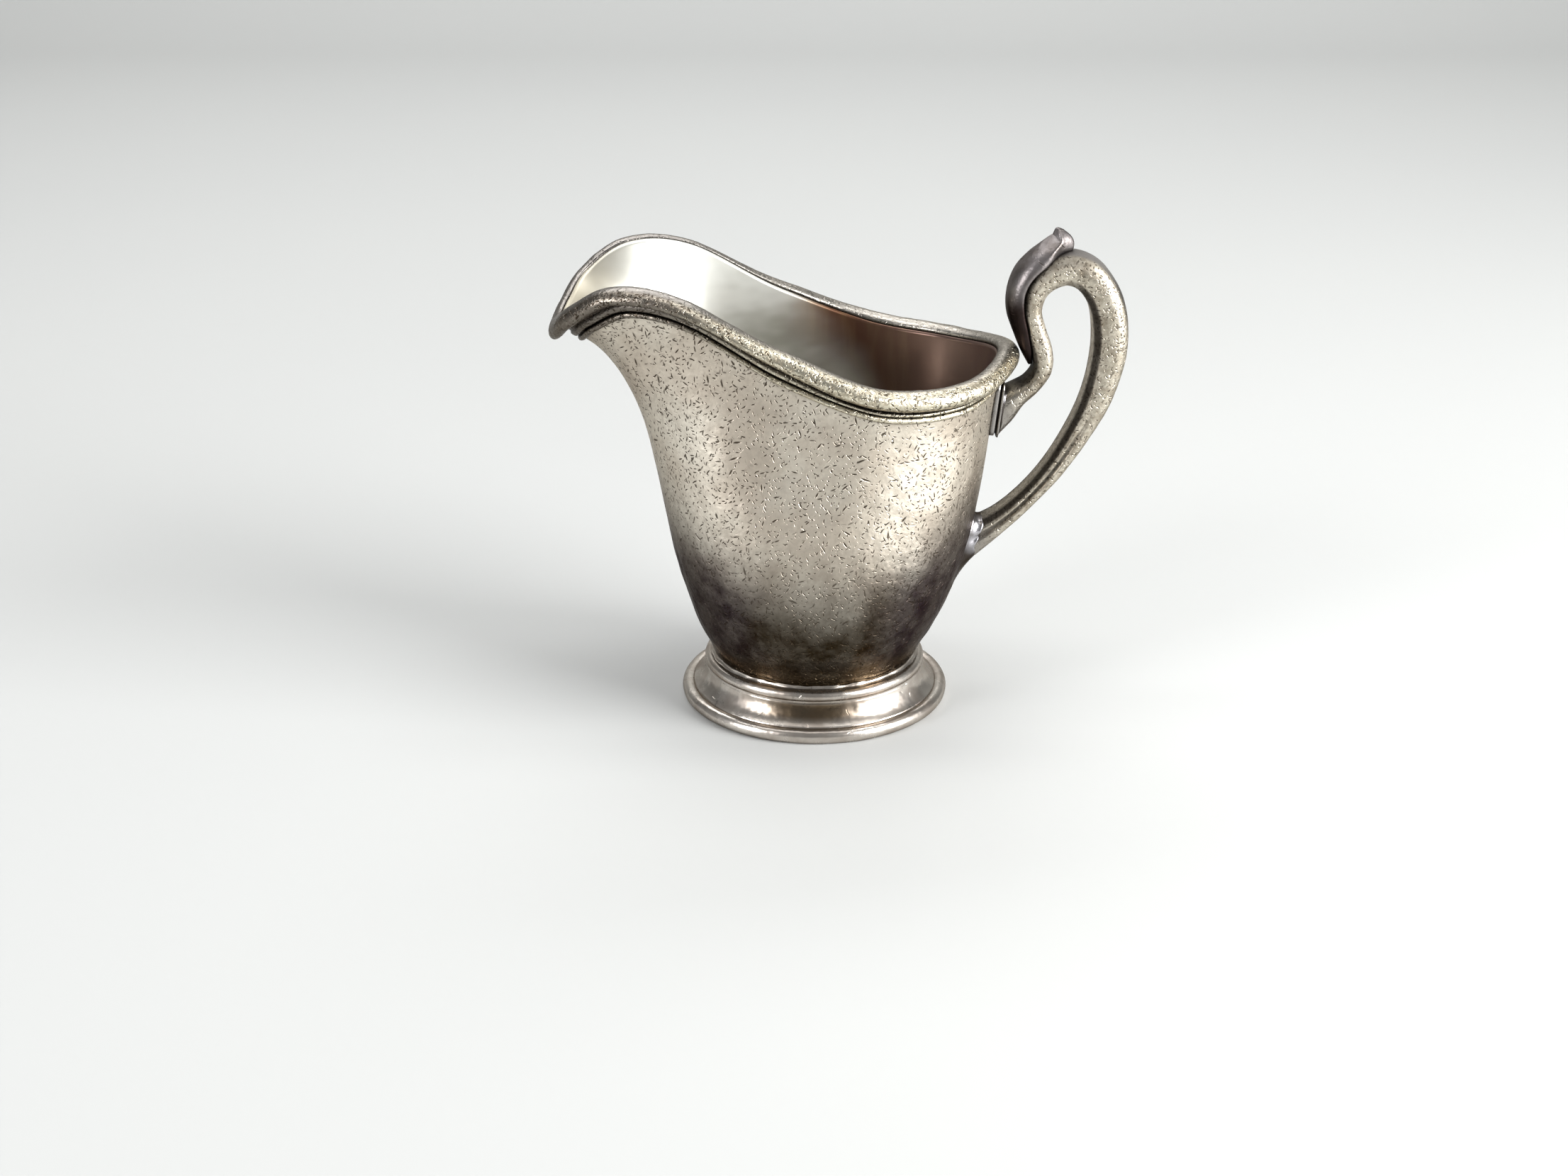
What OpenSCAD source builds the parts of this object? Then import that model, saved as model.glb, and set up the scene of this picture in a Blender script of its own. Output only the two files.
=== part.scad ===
// Footed cream jug: drawn body, applied border wires, stamped foot, cast scroll handle.
// Origin: centre of the foot on its resting plane. +Z is up, the handle is at +X,
// the spout at -X, and the XZ plane is the plane of symmetry. Millimetres.

/* [Body] */
// Thickness of the drawn body sheet
sheet = 1.5; // [1.2:0.1:1.8]
// Radius of the round neck where the body stands on the foot
neck_radius = 20.4; // [19.8:0.1:21]
// Height of the neck above the resting plane
neck_height = 9.6; // [9:0.1:11]

/* [Rim] */
// Height of the bead section, along the body wall
bead_height = 3.8; // [3.2:0.1:4.4]
// How far the outer face of the sheet lies inside the middle of the bead
bead_seat = 0.8; // [0.6:0.1:1]
// How far the flat band below the bead stands out of the body
band_out = 0.6; // [0.4:0.1:0.9]
// Radius of the thin reed along the lower edge of the band
reed_radius = 0.6; // [0.4:0.1:0.8]

/* [Foot] */
// Radius over the wire round the foot
foot_radius = 27; // [26.5:0.1:28]
// Radius of the wire round the edge of the foot
base_wire_radius = 1.5; // [1.3:0.1:1.7]
// Thickness of the stamped foot
foot_sheet = 1.2; // [1:0.1:1.4]
// Outer radius of the rounded ledge under the neck
ledge_radius = 22.3; // [22:0.1:23]

/* [Handle] */
// Width of the handle across its widest part
handle_width = 8.4; // [7:0.2:10]
// Width of the plates between the body and the two ends of the handle
pad_width = 8.6; // [8:0.2:10]
// Width of the leaf on top of the handle
leaf_width = 9; // [7.5:0.1:10]

/* [Smoothness] */
// Number of wall sections round the body
sections = 72; // [36:4:80]

/* [Hidden] */
ROUND_FN = 96;

SILVER = "#b9b2a6";
PALE_SILVER = "#cdc6b8";
DARK_SILVER = "#8d857a";
SOLDER = "#dcdad4";

// The rim from the handle round to the spout: middle of the bead as [x, half width, z],
// then the angle round the neck that the wall section stands on and the wall's outward lean
// at the rim, in degrees.
RIM = [
    [37.2, 0, 71.8, 0, 10], [28.6, 18.2, 69.6, 34, 10], [11.3, 26.3, 70.7, 68, 9],
    [-7.5, 24.6, 78, 98, 12], [-25, 22.8, 87, 122, 24], [-37.4, 19.2, 88.3, 141, 38],
    [-45.7, 14.6, 83.3, 156, 54], [-48.9, 7.4, 79, 168, 63], [-50, 0, 77.2, 180, 67]];
// Outward lean of the wall at the neck, in degrees, at the handle and at the spout
NECK_LEAN = [32, 27];
// Lengths of the wall curve's two tangents, as parts of its chord, at the handle and at the spout
LOW_REACH = [0.4, 0.45];
HIGH_REACH = [0.355, 0.345];

// Heights on the wall, measured down from its upper edge
BEAD_FOOT = bead_height * 0.45;
QUIRK = 0.45;
BAND_HEIGHT = 1.3;
BAND_TOP = bead_height * 0.5 + QUIRK;
BAND_FOOT = BAND_TOP + BAND_HEIGHT;
REED_FOOT = BAND_FOOT + reed_radius * 1.9;
BEAD_HALF_WIDTH = bead_seat + sheet;
// The bead's round stretch, in degrees up from straight outward
BEAD_ARC = [160, -100];
BEAD_STEPS = 10;
REED_ARC = [60, -68];
REED_STEPS = 4;

WALL_ROWS = 17;
INNER_ROWS = 14;
// The lowest inner row, as a part of the wall curve
INNER_FOOT = 0.045;
FLOOR_HEIGHT = neck_height + sheet;
// Rings of the floor as parts of the lowest inner row, and how far its middle is dished
FLOOR_RINGS = [0.9, 0.7];
FLOOR_DISH = 0.4;

// ---- vectors ----
function unit(v) = v / norm(v);
function mix(a, b, t) = a + (b - a) * t;
function on_xz(p) = [p[0], 0, p[1]];

// Catmull-Rom curve through the list p at s, which counts points from 0
function spline_span(a, b, c, d, t) =
    0.5 * (2 * b + (c - a) * t + (2 * a - 5 * b + 4 * c - d) * t * t + (3 * b - a - 3 * c + d) * t * t * t);
function open_spline(p, s) =
    let (last = len(p) - 1, i = min(floor(s), last - 1), t = s - i,
         before = i == 0 ? 2 * p[0] - p[1] : p[i - 1],
         after = i == last - 1 ? 2 * p[last] - p[last - 1] : p[i + 2])
    spline_span(before, p[i], p[i + 1], after, t);
function mirrored(r) = [r[0], -r[1], r[2], 360 - r[3], r[4]];
function rim_station(i) =
    let (last = len(RIM) - 1, n = 2 * last, k = (i % n + n) % n,
         r = k <= last ? RIM[k] : mirrored(RIM[n - k]))
    [r[0], r[1], r[2], r[3] + 360 * floor(i / n), r[4]];
// Everything known about the rim at s, which runs from 0 to 2 * (stations - 1) round the jug
function rim_at(s) =
    let (i = floor(s))
    spline_span(rim_station(i - 1), rim_station(i), rim_station(i + 1), rim_station(i + 2), s - i);
function xyz(r) = [r[0], r[1], r[2]];

// ---- the body wall ----
// One wall section: a cubic from the neck to the rim. Returns its four control points and
// the outward direction of the bead.
function wall_section(s) =
    let (r = rim_at(s), phi = r[3], side = (1 - cos(phi)) / 2,
         radial = [cos(phi), sin(phi), 0],
         foot = neck_radius * radial + [0, 0, neck_height],
         span = [r[0] - foot[0], r[1] - foot[1], 0],
         out = unit(span + 0.4 * norm(span) * radial),
         rise = sin(r[4]) * out + cos(r[4]) * [0, 0, 1],
         along = xyz(rim_at(s + 0.05)) - xyz(rim_at(s - 0.05)),
         face = unit(cross(along, rise)),
         top = xyz(r) - bead_seat * face,
         chord = norm(top - foot),
         lean = mix(NECK_LEAN[0], NECK_LEAN[1], side))
    [foot,
     foot + chord * mix(LOW_REACH[0], LOW_REACH[1], side) * (sin(lean) * radial + cos(lean) * [0, 0, 1]),
     top - chord * mix(HIGH_REACH[0], HIGH_REACH[1], side) * rise,
     top, face, rise];
function wall_point(w, v) =
    let (u = 1 - v)
    u * u * u * w[0] + 3 * u * u * v * w[1] + 3 * u * v * v * w[2] + v * v * v * w[3];
// Place on the wall section at a distance below its upper edge
function below_rim(w, d) = 1 - d / (3 * norm(w[3] - w[2]));

STEP = 2 * (len(RIM) - 1) / sections;
WALLS = [for (k = [0:sections - 1]) wall_section(k * STEP)];
function wall(k) = WALLS[(k + sections) % sections];
function outer(k, v) = wall_point(wall(k), v);
function outward(k, v) =
    unit(cross(outer(k + 1, v) - outer(k - 1, v), outer(k, min(1, v + 0.02)) - outer(k, v - 0.02)));
function inner(k, v) = outer(k, v) - sheet * outward(k, v);
// Distances below the rim are the same in millimetres on every section
function skin(k, d) = outer(k, below_rim(wall(k), d));
function skin_out(k, d) = outward(k, below_rim(wall(k), d));

// Rows of the plain wall between the neck and the foot of the reed
function skirt(k, j) = outer(k, below_rim(wall(k), REED_FOOT) * j / WALL_ROWS);

// ---- meshes from rings of points ----
function flat(rings) = [for (r = rings) each r];
function band_faces(i, j, n) = [for (k = [0:n - 1]) let (m = (k + 1) % n) each
    [[i * n + k, j * n + k, i * n + m], [i * n + m, j * n + k, j * n + m]]];
// A solid whose section, a closed list of points, is repeated round the jug
module ring_of_sections(rings) {
    n = len(rings[0]);
    last = len(rings) - 1;
    polyhedron(flat(rings), [for (k = [0:last]) each band_faces(k, (k + 1) % (last + 1), n)]);
}
// A solid swept along open rings, closed by its two end rings
module swept(rings) {
    n = len(rings[0]);
    last = len(rings) - 1;
    polyhedron(flat(rings), concat(
        [for (k = [0:last - 1]) each band_faces(k, k + 1, n)],
        [[for (k = [0:n - 1]) k]],
        [[for (k = [n - 1:-1:0]) last * n + k]]));
}

// ---- body ----
module body_shell() {
    around = [0:sections - 1];
    outer_rows = concat(
        [for (j = [0:WALL_ROWS - 1]) [for (k = around) skirt(k, j)]],
        [for (d = [REED_FOOT, BAND_FOOT, BAND_TOP, BEAD_FOOT, 0]) [for (k = around) skin(k, d)]]);
    inner_rows = [for (j = [0:INNER_ROWS - 1]) [for (k = around)
        let (p = inner(k, mix(1, INNER_FOOT, j / (INNER_ROWS - 1)))) [p[0], p[1], max(p[2], FLOOR_HEIGHT)]]];
    floor_rows = [for (f = FLOOR_RINGS) [for (k = around)
        let (p = inner_rows[INNER_ROWS - 1][k]) [p[0] * f, p[1] * f, FLOOR_HEIGHT - FLOOR_DISH * (1 - f)]]];
    rows = concat(outer_rows, inner_rows, floor_rows);
    points = concat(flat(rows), [[0, 0, FLOOR_HEIGHT - FLOOR_DISH], [0, 0, neck_height]]);
    n = sections;
    last = len(rows) - 1;
    color(SILVER) polyhedron(points, concat(
        [for (j = [0:last - 1]) each band_faces(j, j + 1, n)],
        [for (k = around) [last * n + k, (last + 1) * n, last * n + (k + 1) % n]],
        [for (k = around) [(k + 1) % n, (last + 1) * n + 1, k]]), convexity = 8);
}

// ---- border ----
function bead_point(k, a) =
    let (w = wall(k), f = w[4], up = unit(cross(f, cross(w[5], f))))
    w[3] + bead_seat * f + BEAD_HALF_WIDTH * cos(a) * f + bead_height / 2 * sin(a) * up;
function bead_section(k) = concat(
    [for (i = [0:BEAD_STEPS]) bead_point(k, mix(BEAD_ARC[0], BEAD_ARC[1], i / BEAD_STEPS))],
    [skin(k, BEAD_FOOT), skin(k, 0), inner(k, 1)]);
module rim_bead() color(PALE_SILVER) ring_of_sections([for (k = [0:sections - 1]) bead_section(k)]);

function reed_section(k) =
    let (band = skin_out(k, BAND_TOP), reed = skin_out(k, BAND_FOOT + reed_radius),
         up = unit(skin(k, BAND_FOOT) - skin(k, REED_FOOT)),
         middle = skin(k, BAND_FOOT + reed_radius) + 0.5 * reed_radius * reed)
    concat(
        [skin(k, REED_FOOT), skin(k, BAND_FOOT), skin(k, BAND_TOP),
         skin(k, BAND_TOP) + band_out * band, skin(k, BAND_FOOT - 0.1) + band_out * band],
        [for (i = [0:REED_STEPS]) let (a = mix(REED_ARC[0], REED_ARC[1], i / REED_STEPS))
            middle + reed_radius * (cos(a) * reed + sin(a) * up)]);
module rim_reed() color(DARK_SILVER) ring_of_sections([for (k = [0:sections - 1]) reed_section(k)]);

// ---- foot ----
WIRE_WEAR = 0.15;
WIRE_CENTRE = [foot_radius - base_wire_radius, base_wire_radius - WIRE_WEAR];
LEDGE_TOP = neck_height - 0.5;
LEDGE_ROUND = 1;
SEAT_RADIUS = neck_radius - 0.9;
FLANGE_RADIUS = 15;
COVE_LOW = [foot_radius - 2.3, 2 * base_wire_radius - 0.2];
COVE_HIGH = [ledge_radius - 0.1, LEDGE_TOP - 2 * LEDGE_ROUND];
COVE_PULL = [ledge_radius + 0.3, 4.2];
COVE_STEPS = 6;
// The foot's lower edge stands behind the wire, this far above the resting plane
EDGE_RADII = [foot_radius - 3.6, foot_radius - 2.4];
EDGE_HEIGHT = 0.3;
COVE_THICKNESS = [foot_sheet, 0.4 * foot_sheet];
function cove(t) = (1 - t) * (1 - t) * COVE_LOW + 2 * t * (1 - t) * COVE_PULL + t * t * COVE_HIGH;
function arc(c, r, from, to, n) = [for (i = [0:n]) let (a = mix(from, to, i / n)) c + r * [cos(a), sin(a)]];

module foot_ring() color(SILVER) difference() {
    rotate_extrude($fn = ROUND_FN) polygon(concat(
        [for (i = [0:COVE_STEPS]) cove(i / COVE_STEPS)],
        arc([ledge_radius - LEDGE_ROUND, LEDGE_TOP - LEDGE_ROUND], LEDGE_ROUND, -20, 100, 7),
        [[neck_radius, LEDGE_TOP], [SEAT_RADIUS, neck_height], [FLANGE_RADIUS, neck_height],
         [FLANGE_RADIUS, neck_height - foot_sheet], [ledge_radius - 3, neck_height - foot_sheet]],
        [for (i = [COVE_STEPS:-1:0]) cove(i / COVE_STEPS) - COVE_THICKNESS],
        [[EDGE_RADII[0], EDGE_HEIGHT], [EDGE_RADII[1], EDGE_HEIGHT]]));
    foot_base_wire();
}
// The wire's underside is worn flat where the jug stands
module foot_base_wire() color(PALE_SILVER) rotate_extrude($fn = ROUND_FN) intersection() {
    translate(WIRE_CENTRE) circle(r = base_wire_radius, $fn = 32);
    square([foot_radius + 1, 3 * base_wire_radius]);
}

// The fillet of solder in the corner between the ledge and the neck
SEAM_WIDTH = 0.75;
module foot_solder_seam() color(SOLDER)
    rotate_extrude($fn = ROUND_FN) polygon([
        [SEAT_RADIUS, neck_height], [neck_radius, LEDGE_TOP], [neck_radius + SEAM_WIDTH, LEDGE_TOP],
        [neck_radius + 0.67 * SEAM_WIDTH, LEDGE_TOP + 0.25],
        [neck_radius + 0.5 * SEAM_WIDTH, neck_height + 0.4],
        [neck_radius + 0.4 * SEAM_WIDTH, neck_height + 0.5], [neck_radius, neck_height]]);

// ---- handle ----
// Middle of the handle from the upper arm, over the loop, to the tail: [x, z, thickness, width]
HANDLE = [
    [33, 59.3, 9.6, 1], [36, 61.1, 7, 0.94], [38.9, 63.4, 4.6, 0.88], [41.8, 65.6, 3.7, 0.84],
    [43.8, 68.7, 3.8, 0.84], [43.7, 72.2, 4, 0.84], [42.3, 76.4, 4, 0.86], [41.2, 80.6, 4.2, 0.9],
    [41.9, 84.6, 5, 0.95], [44.4, 87.5, 5.8, 0.98], [48.2, 88.8, 6.4, 1], [52.2, 87.2, 6.6, 1],
    [55.4, 82.6, 6.7, 1], [56.8, 76.4, 7, 1], [56.4, 69.6, 6.7, 0.98], [54.5, 62.2, 5.9, 0.94],
    [51.3, 55.4, 5, 0.9], [46.9, 48.2, 4.3, 0.86], [41.7, 41.9, 4, 0.84], [36.4, 37, 4.7, 0.86],
    [30.8, 33.3, 6.8, 0.92], [26, 30.4, 9.4, 0.96]];
// Middle of the leaf that caps the neck of the handle, from its tip to the spur
LEAF = [
    [41.5, 69.6, 0.8, 0.25], [40.6, 72.5, 1.9, 0.6], [39.2, 76.6, 2.7, 0.84], [38.1, 80.6, 3.1, 0.98],
    [38.1, 84.4, 3.1, 1], [39.3, 87.6, 3.2, 1], [41.6, 90.2, 3.4, 0.94], [44.2, 92.1, 4.2, 0.78],
    [46.4, 94.1, 3.8, 0.5], [46.9, 96.3, 1.1, 0.16]];
HANDLE_RINGS = 60;
LEAF_RINGS = 24;
RING_POINTS = 14;
// Power that squares a section off: 1 is an ellipse, less is squarer
HANDLE_POWER = 0.72;
LEAF_POWER = 0.9;
// How far the swept solids stop short of the ends of their paths, in path points
PATH_END = 0.02;
function swell(a, p) = sign(a) * pow(abs(a), p);
// One section across a handle path: a rounded rectangle that stands square to the path
function path_ring(path, s, width, power) =
    let (p = open_spline(path, s), d = open_spline(path, s + PATH_END) - open_spline(path, s - PATH_END),
         t = unit([d[0], d[1]]), out = [-t[1], 0, t[0]])
    [for (i = [0:RING_POINTS - 1]) let (a = -360 * (i + 0.5) / RING_POINTS)
        on_xz(p) + p[2] / 2 * swell(cos(a), power) * out
        + p[3] * width / 2 * swell(sin(a), power) * [0, 1, 0]];
module path_solid(path, rings, width, power) {
    last = len(path) - 1;
    swept([for (i = [0:rings]) path_ring(path, mix(PATH_END, last - PATH_END, i / rings), width, power)]);
}
module handle_rod() path_solid(HANDLE, HANDLE_RINGS, handle_width, HANDLE_POWER);

// The part of the body behind the handle, filled, on the same facets as the body's outer skin
WEDGE_SIDE = 6;
WEDGE_CORE = 8;
module wall_wedge() {
    n = 2 * WEDGE_SIDE + 1;
    top = WALL_ROWS + 1;
    columns = [-WEDGE_SIDE:WEDGE_SIDE];
    rows = concat(
        [for (j = [0:WALL_ROWS]) [for (k = columns) skirt(k, j)]],
        [[for (k = columns) skin(k, 0)]]);
    low = (top + 1) * n;
    high = low + 1;
    core = [[WEDGE_CORE, 0, neck_height], [WEDGE_CORE, 0, rows[top][WEDGE_SIDE][2]]];
    polyhedron(concat(flat(rows), core), concat(
        [for (j = [0:top - 1], k = [0:n - 2]) let (a = j * n + k, b = a + n) each
            [[a, b, a + 1], [a + 1, b, b + 1]]],
        [for (k = [0:n - 2]) each [[k, k + 1, low], [top * n + k + 1, top * n + k, high]]],
        [for (j = [0:top - 1]) each [[(j + 1) * n, j * n, low], [j * n + n - 1, (j + 1) * n + n - 1, low]]],
        [[top * n, low, high], [low, top * n + n - 1, high]]));
}

// Each pad as [x, z of the middle of its front face, lean, length, width]
UPPER_PAD = [36.1, 61.1, 5.5, 11.2, pad_width];
LOWER_PAD = [30.4, 31.8, 15.5, 14.6, pad_width];
PAD_CORNER = 1.8;
PAD_DEPTH = 3;
SOLDER_RISE = 0.8;
SOLDER_INSET = 0.15;
module at_pad(pad) translate([pad[0], 0, pad[1]]) rotate([0, pad[2], 0]) rotate([90, 0, 90]) children();
// The pad's outline, grown or shrunk on every side
module pad_outline(pad, grow) hull() for (x = [-1, 1], y = [-1, 1])
    translate([x * (pad[4] / 2 - PAD_CORNER), y * (pad[3] / 2 - PAD_CORNER)])
        circle(r = PAD_CORNER + grow, $fn = 32);
module pad_plate(pad) difference() {
    at_pad(pad) translate([0, 0, -PAD_DEPTH]) linear_extrude(height = PAD_DEPTH) pad_outline(pad, 0);
    wall_wedge();
}
module upper_handle_pad() color(DARK_SILVER) pad_plate(UPPER_PAD);
module lower_handle_pad() color(DARK_SILVER) pad_plate(LOWER_PAD);

// Everything behind the front face of a pad, for as far as the handle's ends reach
BEHIND = 20;
module behind_pad(pad) at_pad(pad) translate([-BEHIND / 2, -BEHIND / 2, -BEHIND]) cube(BEHIND);
module handle_casting() color(SILVER) difference() {
    handle_rod();
    behind_pad(UPPER_PAD);
    behind_pad(LOWER_PAD);
}
module thumb_leaf() color(PALE_SILVER) difference() {
    path_solid(LEAF, LEAF_RINGS, leaf_width, LEAF_POWER);
    handle_rod();
}

// A raised fillet of solder round the end of the handle, on the front face of a pad
module pad_solder(pad) color(SOLDER) difference() {
    at_pad(pad) linear_extrude(height = SOLDER_RISE, scale = 1 - 2 * SOLDER_RISE / pad[4])
        pad_outline(pad, -SOLDER_INSET);
    handle_rod();
}
module upper_pad_solder() pad_solder(UPPER_PAD);
module lower_pad_solder() pad_solder(LOWER_PAD);

body_shell();
rim_bead();
rim_reed();
foot_ring();
foot_base_wire();
foot_solder_seam();
handle_casting();
thumb_leaf();
upper_handle_pad();
lower_handle_pad();
upper_pad_solder();
lower_pad_solder();
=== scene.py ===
"""A footed silver cream jug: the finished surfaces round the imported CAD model."""
import math

import bmesh
import bpy
import numpy as np
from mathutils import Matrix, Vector, noise
from mathutils.bvhtree import BVHTree


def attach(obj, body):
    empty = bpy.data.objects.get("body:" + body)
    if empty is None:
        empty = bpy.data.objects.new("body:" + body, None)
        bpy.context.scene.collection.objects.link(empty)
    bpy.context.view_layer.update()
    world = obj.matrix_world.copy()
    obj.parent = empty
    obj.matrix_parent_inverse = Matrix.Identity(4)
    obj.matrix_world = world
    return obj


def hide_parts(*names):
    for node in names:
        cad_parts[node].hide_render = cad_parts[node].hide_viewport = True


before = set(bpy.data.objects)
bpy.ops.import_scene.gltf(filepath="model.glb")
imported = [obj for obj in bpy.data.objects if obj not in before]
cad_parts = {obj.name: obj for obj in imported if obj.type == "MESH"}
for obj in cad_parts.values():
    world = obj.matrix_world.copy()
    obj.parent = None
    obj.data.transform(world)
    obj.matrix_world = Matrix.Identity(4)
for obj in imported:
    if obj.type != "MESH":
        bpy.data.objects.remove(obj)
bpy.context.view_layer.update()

MM = 0.001
UP = np.array([0.0, 0.0, 1.0])

# ---- shape of the jug, in millimetres ----
# These values are the CAD source's. The finer shapes further down aren't in it, and the bead, the
# hollow below it, the spur and the foot's ledge differ from it, to follow the photo more closely.
SHEET = 1.5
NECK_RADIUS = 20.4
NECK_HEIGHT = 9.6
BEAD_HEIGHT = 3.8
BEAD_SEAT = 0.8
FOOT_RADIUS = 27.0
WIRE_RADIUS = 1.5
WIRE_WEAR = 0.15
FOOT_SHEET = 1.2
LEDGE_RADIUS = 22.3
HANDLE_WIDTH = 8.4
LEAF_WIDTH = 9.0
PAD_WIDTH = 8.6

# The rim from the handle to the spout: x, half width, z, angle round the neck, outward lean
RIM = np.array([
    [37.2, 0, 71.8, 0, 10], [28.6, 18.2, 69.6, 34, 10], [11.3, 26.3, 70.7, 68, 9],
    [-7.5, 24.6, 78, 98, 12], [-25, 22.8, 87, 122, 24], [-37.4, 19.2, 88.3, 141, 38],
    [-45.7, 14.6, 83.3, 156, 54], [-48.9, 7.4, 79, 168, 63], [-50, 0, 77.2, 180, 67]])
NECK_LEAN = (32, 27)
LOW_REACH = (0.4, 0.45)
HIGH_REACH = (0.355, 0.345)

# Middle of the handle from the upper arm to the tail: x, z, thickness, width
HANDLE = np.array([
    [33, 59.3, 9.6, 1], [36, 61.1, 7, 0.94], [38.9, 63.4, 4.6, 0.88], [41.8, 65.6, 3.7, 0.84],
    [43.8, 68.7, 3.8, 0.84], [43.7, 72.2, 4, 0.84], [42.3, 76.4, 4, 0.86], [41.2, 80.6, 4.2, 0.9],
    [41.9, 84.6, 5, 0.95], [44.4, 87.5, 5.8, 0.98], [48.2, 88.8, 6.4, 1], [52.2, 87.2, 6.6, 1],
    [55.4, 82.6, 6.7, 1], [56.8, 76.4, 7, 1], [56.4, 69.6, 6.7, 0.98], [54.5, 62.2, 5.9, 0.94],
    [51.3, 55.4, 5, 0.9], [46.9, 48.2, 4.3, 0.86], [41.7, 41.9, 4, 0.84], [36.4, 37, 4.7, 0.86],
    [30.8, 33.3, 6.8, 0.92], [26, 30.4, 9.4, 0.96]])
# Middle of the leaf from its lower tip to the spur: x, z, thickness, width
LEAF = np.array([
    [41.5, 69.6, 0.8, 0.25], [40.6, 72.5, 1.9, 0.6], [39.2, 76.6, 2.7, 0.84], [38.1, 80.6, 3.1, 0.98],
    [38.1, 84.4, 3.1, 1], [39.3, 87.6, 3.2, 1], [41.6, 90.2, 3.4, 0.94], [44.2, 92.1, 4.2, 0.78],
    [46.4, 94.1, 3.8, 0.5], [46.9, 96.3, 1.1, 0.16]])
# Pads as x and z of the middle of the front face, lean, length
UPPER_PAD = (36.1, 61.1, 5.5, 11.2)
LOWER_PAD = (30.4, 31.8, 15.5, 14.6)


# ---- curves ----
def unit(v):
    return v / np.linalg.norm(v, axis=-1, keepdims=True)


def mix(a, b, t):
    return a + (b - a) * t


def smooth(a, b, x):
    """0 below a, 1 above b, and a smooth rise between."""
    t = np.clip((x - a) / (b - a), 0, 1)
    return t * t * (3 - 2 * t)


def stretch(x, a, b, c, d):
    """1 from b to c, 0 before a and after d, and smooth between them."""
    return smooth(a, b, x) * (1 - smooth(c, d, x))


def spline_span(a, b, c, d, t):
    return 0.5 * (2 * b + (c - a) * t + (2 * a - 5 * b + 4 * c - d) * t**2 + (3 * b - a - 3 * c + d) * t**3)


def open_spline(table, s):
    """Catmull-Rom curve through the rows of table, at the places s, counted in rows."""
    padded = np.vstack([2 * table[0] - table[1], table, 2 * table[-1] - table[-2]])
    i = np.clip(np.floor(s).astype(int), 0, len(table) - 2)
    t = (s - i)[:, None]
    return spline_span(padded[i], padded[i + 1], padded[i + 2], padded[i + 3], t)


def rim_table():
    """The rim's rows all the way round, with one row before and two after."""
    last = len(RIM) - 1
    rows = []
    for k in range(-1, 2 * last + 3):
        turn, i = divmod(k, 2 * last)
        row = RIM[i].copy() if i <= last else RIM[2 * last - i] * [1, -1, 1, -1, 1]
        if i > last:
            row[3] += 360
        row[3] += 360 * turn
        rows.append(row)
    return np.array(rows)


RIM_ROWS = rim_table()
RIM_TURN = 2 * (len(RIM) - 1)


def rim_at(s):
    s = np.mod(s, RIM_TURN)
    i = np.floor(s).astype(int)
    t = (s - i)[:, None]
    return spline_span(RIM_ROWS[i], RIM_ROWS[i + 1], RIM_ROWS[i + 2], RIM_ROWS[i + 3], t)


# ---- the body wall ----
class Wall:
    """The wall's sections at evenly spaced places round the jug."""

    def __init__(self, sections):
        s = np.arange(sections) * RIM_TURN / sections
        r = rim_at(s)
        phi = np.radians(r[:, 3:4])
        lean = np.radians(r[:, 4:5])
        side = (1 - np.cos(phi)) / 2
        radial = np.hstack([np.cos(phi), np.sin(phi), 0 * phi])
        self.foot = NECK_RADIUS * radial + NECK_HEIGHT * UP
        span = r[:, :3] - self.foot
        span[:, 2] = 0
        out = unit(span + 0.4 * np.linalg.norm(span, axis=1, keepdims=True) * radial)
        self.rise = np.sin(lean) * out + np.cos(lean) * UP
        along = rim_at(s + 0.05)[:, :3] - rim_at(s - 0.05)[:, :3]
        self.face = unit(np.cross(along, self.rise))
        self.up = unit(self.rise - (self.rise * self.face).sum(1, keepdims=True) * self.face)
        self.top = r[:, :3] - BEAD_SEAT * self.face
        chord = np.linalg.norm(self.top - self.foot, axis=1, keepdims=True)
        neck = np.radians(mix(NECK_LEAN[0], NECK_LEAN[1], side))
        low_reach = chord * mix(LOW_REACH[0], LOW_REACH[1], side)
        high_reach = chord * mix(HIGH_REACH[0], HIGH_REACH[1], side)
        self.low = self.foot + low_reach * (np.sin(neck) * radial + np.cos(neck) * UP)
        self.high = self.top - high_reach * self.rise
        self.span = 3 * np.linalg.norm(self.top - self.high, axis=1)

    def at(self, v):
        """Points at v, an array of sections by rows, from 0 at the neck to 1 at the rim."""
        v = v[..., None]
        u = 1 - v
        return (u**3 * self.foot[:, None] + 3 * u * u * v * self.low[:, None]
                + 3 * u * v * v * self.high[:, None] + v**3 * self.top[:, None])

    def outward(self, v):
        rise = self.at(np.minimum(v + 0.01, 1)) - self.at(v - 0.01)
        here = self.at(v)
        along = np.roll(here, -1, axis=0) - np.roll(here, 1, axis=0)
        return unit(np.cross(along, rise))

    def below(self, d):
        """v at a distance d below the upper edge."""
        return 1 - d / self.span[:, None]


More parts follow.
